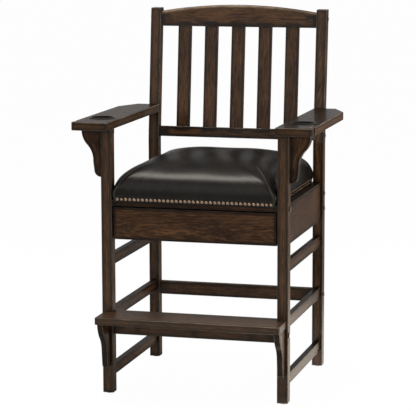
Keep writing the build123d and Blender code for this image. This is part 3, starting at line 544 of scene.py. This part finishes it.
# %% The seat as one sheet
def seat_sheet(count):
    """A count by count sheet (s, t) from -1 to 1, with ring = max(|s|, |t|).

    Up to flat_ring the crown is flat. From there to rim_ring the angle a falls from 90 degrees to 0, with
    draw = reach (1 - cos a) - bulge and rise = crown sin(a)^power. Beyond, the skin turns down the border.
    """
    line = np.linspace(-1, 1, count)
    s, t = np.meshgrid(line, line, indexing="ij")
    ring = np.maximum(abs(s), abs(t))
    along = np.clip((ring - flat_ring) / (rim_ring - flat_ring), 0, 1)
    turn = np.pi / 2 * (1 - along ** 1.15)
    inner = np.clip(ring / flat_ring, 0, 1)
    rise = crown * np.sin(turn) ** crown_power
    shrink = 1 - np.cos(turn)
    puff = bulge * (1 - smooth(ring, rim_ring, 1))
    half_x = (deck_half + skin - reach_side * shrink + puff) * inner
    front = -skin + reach_front * shrink - puff
    back = deck_back + skin - reach_back * shrink + puff
    half_y, middle_y = (back - front) / 2 * inner, (back + front) / 2
    radius = sharp_corner + hem_corner_gain * smooth(rise, 0.0, 0.04)
    radius = radius + crown_corner_gain * (rise / crown) ** 2.4
    radius = np.minimum(radius * inner, np.minimum(half_x, half_y) * 0.98)
    radius = radius * np.where(t > 0, rear_corner_share, 1.0)
    x, y = rounded_ring(s, t, half_x, half_y, np.maximum(radius, 1e-6))
    hem = np.where((t < 0) & (abs(t) >= abs(s)), front_hem_z, side_hem_z)
    border = deck_top - (deck_top - hem) * np.clip((ring - rim_ring) / (1 - rim_ring), 0, 1)
    z = np.where(ring > rim_ring, border, deck_top + rise)
    return s, t, np.stack([x, y + middle_y, z], -1), along


def outward(points):
    """The surface's direction at each point: the cross product of its two slopes."""
    along_s, along_t = np.gradient(points, axis=0), np.gradient(points, axis=1)
    out = np.cross(along_s, along_t)
    return out / np.maximum(np.linalg.norm(out, axis=-1, keepdims=True), 1e-12)


# %% [markdown]
# Leather can't shrink round a corner, so the upholsterer lays the spare skin into a pleat there. Each
# front corner has one: a sharp fold that climbs the corner and leans towards the side. The skin is also
# pulled hard at every nail and stands proud between them. A cloth simulation would find folds of its own,
# but here their places are known. So all of this is a height, added along the surface's own direction.

# %% Pleats and the pull of the nails
def seat_relief(s, t, points, along):
    """How far the skin stands out at each point, in metres, and how near it is to a pleat's crest.

    The pleat's line is a parabola in (along, across), where across is the distance from the diagonal.
    On its front side the skin rises to a lip, by exp(d / lip_run), and on the other side it drops at once.
    fan is slow waves that spread out from each corner, pull is a cosine from nail to nail, pinch is the
    groove that they all lie in, and slack is the sag of the crown. The nearness to a pleat's crest is painted
    paler on the leather as a highlight.
    """
    x, y, z = points[..., 0], points[..., 1], points[..., 2]
    across = (abs(s) - abs(t)) * pleat_run
    is_front = smooth(-t, 0.2, 0.5)
    off = across - (0.085 * (along - 0.82) ** 2 - 0.0068)
    deep = smooth(along, 0.44, 0.62) * (1 - 0.55 * smooth(along, 0.92, 1.0)) * is_front
    climb, drop = np.exp(np.minimum(off, 0) / lip_run), 1 - smooth(off, 0, 0.0024)
    lip = lip_high * np.where(off < 0, climb, drop) * deep
    fold = fold_deep * bell(off - 0.0034, 0.0028) * deep
    rear_deep = smooth(along, 0.66, 0.85) * (1 - is_front)
    rear_fold = (0.0026 * bell(across, 0.0026) - 0.0014 * bell(across + 0.006, 0.005)) * rear_deep
    fan = 0.0005 * np.cos(across / 0.019 * 2 * np.pi) * bell(across, 0.055) * smooth(along, 0.6, 0.9)
    front_row = (t < 0) & (abs(t) > abs(s))
    nails_passed = np.where(front_row, x / nail_pitch, (y - nail_pitch / 2) / nail_pitch)
    nail_z = np.where(front_row, front_nail_z, side_nail_z)
    pull = 0.0008 * np.cos(nails_passed * 2 * np.pi) * bell(z - nail_z - 0.002, 0.011)
    pinch = 0.0009 * bell(z - nail_z, 0.006)
    slack = 0.0011 * np.sin(x * 31 + 1.3) * np.sin(y * 27 + 0.4) * smooth(1 - along, 0.15, 0.6)
    # The nearness to a pleat's crest becomes a painted highlight on the leather.
    line = bell(off + 0.0010, 0.0014) * deep
    return lip - fold - rear_fold + fan - pull * 0.7 - pinch + slack, line


# %% [markdown]
# The sheet's rim is closed below. From the hem the skin turns inwards, goes up beside the deck's edge,
# and lies flat on the deck, where the foam is glued. So the seat is a closed body that fits its deck.

# %% Build the seat
def rim_loop(count):
    """The sheet's outer points in order, counterclockwise from above."""
    first = np.arange(count - 1)
    grid = np.arange(count * count).reshape(count, count)
    return np.concatenate([grid[first, 0], grid[-1, first], grid[-1 - first, -1], grid[0, -1 - first]])


def seat_mesh(count):
    """Top sheet, then two rings that turn under and up beside the deck, then one point in the middle."""
    s, t, points, along = seat_sheet(count)
    height, line = seat_relief(s, t, points, along)
    top = (points + outward(points) * height[..., None]).reshape(-1, 3)
    loop = rim_loop(count)
    inset = top[loop]
    inset[:, 0] = np.clip(inset[:, 0], -deck_half - under_gap, deck_half + under_gap)
    inset[:, 1] = np.clip(inset[:, 1], -under_gap, deck_back + under_gap)
    lift = inset.copy()
    lift[:, 2] = deck_top + glue_gap
    verts = np.concatenate([top, inset, lift, [[0, deck_back / 2, deck_top + glue_gap]]])
    verts[:, 1] += leg_front

    grid = np.arange(count * count).reshape(count, count)
    quads = np.stack([grid[:-1, :-1], grid[1:, :-1], grid[1:, 1:], grid[:-1, 1:]], -1).reshape(-1, 4)
    under = len(top) + np.arange(len(loop))
    rings = [loop, under, under + len(loop)]
    walls = [np.stack([b, np.roll(b, -1), np.roll(a, -1), a], -1) for a, b in zip(rings, rings[1:])]
    centre = np.full(len(loop), len(verts) - 1)
    bottom = np.stack([centre, np.roll(rings[2], -1), rings[2]], -1)

    mesh = bpy.data.meshes.new("seat_leather")
    mesh.from_pydata(verts.tolist(), [], np.concatenate([quads, *walls]).tolist() + bottom.tolist())
    # The pleat attribute carries the painted highlight line along each pleat's crest.
    wear_and_highlight = mesh.attributes.new("pleat", "FLOAT", "POINT")
    wear_and_highlight.data.foreach_set("value", np.concatenate([line.ravel(), np.zeros(len(verts) - line.size)]))
    mesh.shade_smooth()
    mesh.update()
    return mesh


seat = bpy.data.objects.new("seat_leather", seat_mesh(sheet_count))
bpy.context.scene.collection.objects.link(seat)
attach(seat, "chair_frame")
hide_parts("seat_cushion")
print("seat faces:", len(seat.data.polygons))

# %% [markdown]
# Leather is skin: a net of tiny polygons that catches the light, over a colour that isn't quite even.
# The finish is a dark, slightly waxy black. In patches it is a little rubbed, which shows as warmer and
# smoother, and a paler line along the crest of each pleat is a painted highlight. Cells of two sizes make
# the net, and only their borders go down.

# %% Leather
cells_per_metre, fine_cells_per_metre = 620.0, 1500.0
leather_deep, leather_black = (0.0034, 0.0027, 0.0022, 1), (0.0075, 0.0060, 0.0048, 1)
leather_rubbed, leather_crease = (0.014, 0.0105, 0.0078, 1), (0.0020, 0.0017, 0.0015, 1)
painted_pleat_highlight = (0.062, 0.054, 0.046, 1)


def black_leather():
    """Voronoi borders for the grain, slow noise for the rub. Towards the back the skin shines less."""
    b = bench("black_leather")
    here = b.place()
    wobble = b.node("ShaderNodeTexNoise", out="Color", Vector=here, Scale=160.0, Detail=2.0)
    bent = b.mix(0.0012, here, wobble)

    def border(scale):
        """How far a point is from the nearest border between two cells."""
        return b.node("ShaderNodeTexVoronoi", {"feature": "DISTANCE_TO_EDGE"}, out="Distance",
                      Vector=bent, Scale=scale)

    cells, fine = border(cells_per_metre), border(fine_cells_per_metre)
    crease = 1 - b.step(cells, 0.0, 0.16)
    cloud = b.noise(here, 7, 4, 0.6)
    patch = b.noise(here, 38, 3, 0.6)
    color = b.mix(b.step(cloud, 0.35, 0.72), leather_deep, leather_black)
    color = b.mix(b.step(patch, 0.5, 0.75) * 0.4, color, leather_rubbed)
    color = b.mix(crease * 0.4, color, leather_crease)
    # Painted highlight: a paler line along each pleat's crest.
    pleat = b.node("ShaderNodeAttribute", {"attribute_name": "pleat"}, out="Fac")
    color = b.mix(pleat * 0.8, color, painted_pleat_highlight)
    behind = b.step(b.axes(here)[1], 0.0, 0.26)
    rough = 0.29 + (cloud - 0.5) * 0.10 + crease * 0.08 + (patch - 0.5) * 0.05
    relief = b.bump(b.step(cells, 0.0, 0.2) + b.step(fine, 0.0, 0.3) * 0.4, 0.00008, 0.30)
    broad = b.bump(b.noise(here, 20, 3, 0.55), 0.0016, 0.20, relief)
    coat = 0.062 + patch * 0.02 - behind * 0.032
    return b.finish(color, rough, broad, coat, Specular_IOR_Level=0.006, Coat_Roughness=0.33, Coat_IOR=2.2)


seat.data.materials.append(black_leather())

# %% [markdown]
# The studio is a pale floor without an end, and a white surround. The camera sees the surround as plain
# white, and so do reflections, but the light it sheds on the chair is weaker, so that dark wood stays dark.
# In the photograph the chair's right faces get paler towards the feet, as if a lamp lit the floor behind
# them. A real lamp there would also light the legs from below, so the floor only looks bright in mirrors.

# %% Floor
half_floor = 60.0
seen_white = 0.975
pool_lean, pool_side = 0.225, (-0.05, 0.15)
pool_front, pool_back = (-0.35, -0.24), (0.95, 1.5)


def pale_floor():
    """A pale matt floor. What the camera sees is lifted towards white, and the shadow stays.

    Polished faces also mirror a bright pool of light on it, to the right of the chair and behind it. Its
    left side follows the line x = pool_lean y, and it fades out behind the chair.
    """
    b = bench("studio_floor")
    here = b.place()
    x, y, z = b.axes(here)
    color = b.mix(b.noise(here, 30, 3), (0.80, 0.80, 0.80, 1), (0.84, 0.84, 0.84, 1))
    b.finish(color, 0.9)
    glow = b.node("ShaderNodeEmission", Color=(1, 1, 1, 1), Strength=1.0)
    shine = b.node("ShaderNodeEmission", Color=(1.0, 0.93, 0.82, 1), Strength=5.2)
    seen = b.node("ShaderNodeLightPath", out="Is Camera Ray")
    mirrored = b.node("ShaderNodeLightPath", out="Is Glossy Ray")
    pool = b.step(x - y * pool_lean, *pool_side) * b.step(y, *pool_front) * (1 - b.step(y, *pool_back))
    lit = b.node("ShaderNodeMixShader", _0=seen * seen_white, _1=b.there("Principled BSDF"), _2=glow)
    both = b.node("ShaderNodeMixShader", _0=mirrored * pool, _1=lit, _2=shine)
    b.put(b.tree.nodes["Material Output"].inputs["Surface"], both)
    return b.owner


floor_corners = [(x * half_floor, y * half_floor, 0) for x, y in ((-1, -1), (1, -1), (1, 1), (-1, 1))]
floor_mesh = bpy.data.meshes.new("floor")
floor_mesh.from_pydata(floor_corners, [], [(0, 1, 2, 3)])
floor_mesh.materials.append(pale_floor())
floor = bpy.data.objects.new("floor", floor_mesh)
bpy.context.scene.collection.objects.link(floor)

# %% Surround
world = bpy.data.worlds.new("studio")
bpy.context.scene.world = world
b = Board(world)
light_shed = 0.50
b.put(b.tree.nodes["Background"].inputs["Color"], (1, 1, 1, 1))
b.put(b.tree.nodes["Background"].inputs["Strength"], light_shed)
bright = b.node("ShaderNodeBackground", Color=(1, 1, 1, 1))
seen = b.node("ShaderNodeLightPath", out="Is Camera Ray")
for ray in ("Is Glossy Ray", "Is Transmission Ray"):
    seen = b.math("MAXIMUM", seen, b.node("ShaderNodeLightPath", out=ray))
both = b.node("ShaderNodeMixShader", _0=seen, _1=b.there("Background"), _2=bright)
b.put(b.tree.nodes["World Output"].inputs["Surface"], both)
print("share of the surround's light that falls on the chair:", light_shed)


# %% Lamps
lamp_target = Vector((0, 0, 0.7))


def soft_lamp(name, place, wide, high, watts, color):
    """A flat lamp at a place, turned to face the middle of the chair."""
    data = bpy.data.lights.new(name, "AREA")
    data.shape, data.size, data.size_y = "RECTANGLE", wide, high
    data.energy, data.color = watts, color
    lamp = bpy.data.objects.new(name, data)
    lamp.location = place
    lamp.rotation_euler = (Vector(place) - lamp_target).to_track_quat("Z", "Y").to_euler()
    bpy.context.scene.collection.objects.link(lamp)


soft_lamp("lamp_overhead", (-0.65, 0.12, 3.2), 0.9, 0.85, 78, (1.0, 0.93, 0.84))
soft_lamp("lamp_right", (3.2, -0.6, 1.6), 1.8, 1.8, 116, (1.0, 0.94, 0.83))
soft_lamp("lamp_front", (-1.2, -3.3, 2.4), 4.6, 3.0, 54, (1.0, 0.97, 0.93))
print("lamps:", bpy.data.lights.keys())

# %% [markdown]
# The camera stands to the chair's right and looks a little down, from as far away as the photograph's
# own, because distance sets how much the far legs shrink. Its lens is long for the same reason.

# %% Camera
yaw, pitch, roll = (math.radians(degrees) for degrees in (15.0951, 9.0698, -0.1548))
focal_pixels, picture_pixels = 1974.43, 416
camera_x, camera_before_legs, camera_z = 1.6384, 5.8992, 1.5936
camera_data = bpy.data.cameras.new("camera")
camera_data.sensor_width = 36.0
camera_data.lens = focal_pixels / picture_pixels * camera_data.sensor_width
camera_data.clip_end = 200.0
camera = bpy.data.objects.new("camera", camera_data)
camera.matrix_world = (
    Matrix.Translation((camera_x, leg_front - camera_before_legs, camera_z))
    @ Matrix.Rotation(yaw, 4, "Z")
    @ Matrix.Rotation(math.pi / 2 - pitch, 4, "X")
    @ Matrix.Rotation(roll, 4, "Z")
)
bpy.context.scene.collection.objects.link(camera)
bpy.context.scene.camera = camera
bpy.context.scene.view_settings.view_transform = "Standard"
print("lens in mm:", round(camera_data.lens, 2))

# %% Bring the scene up to date
bpy.context.view_layer.update()
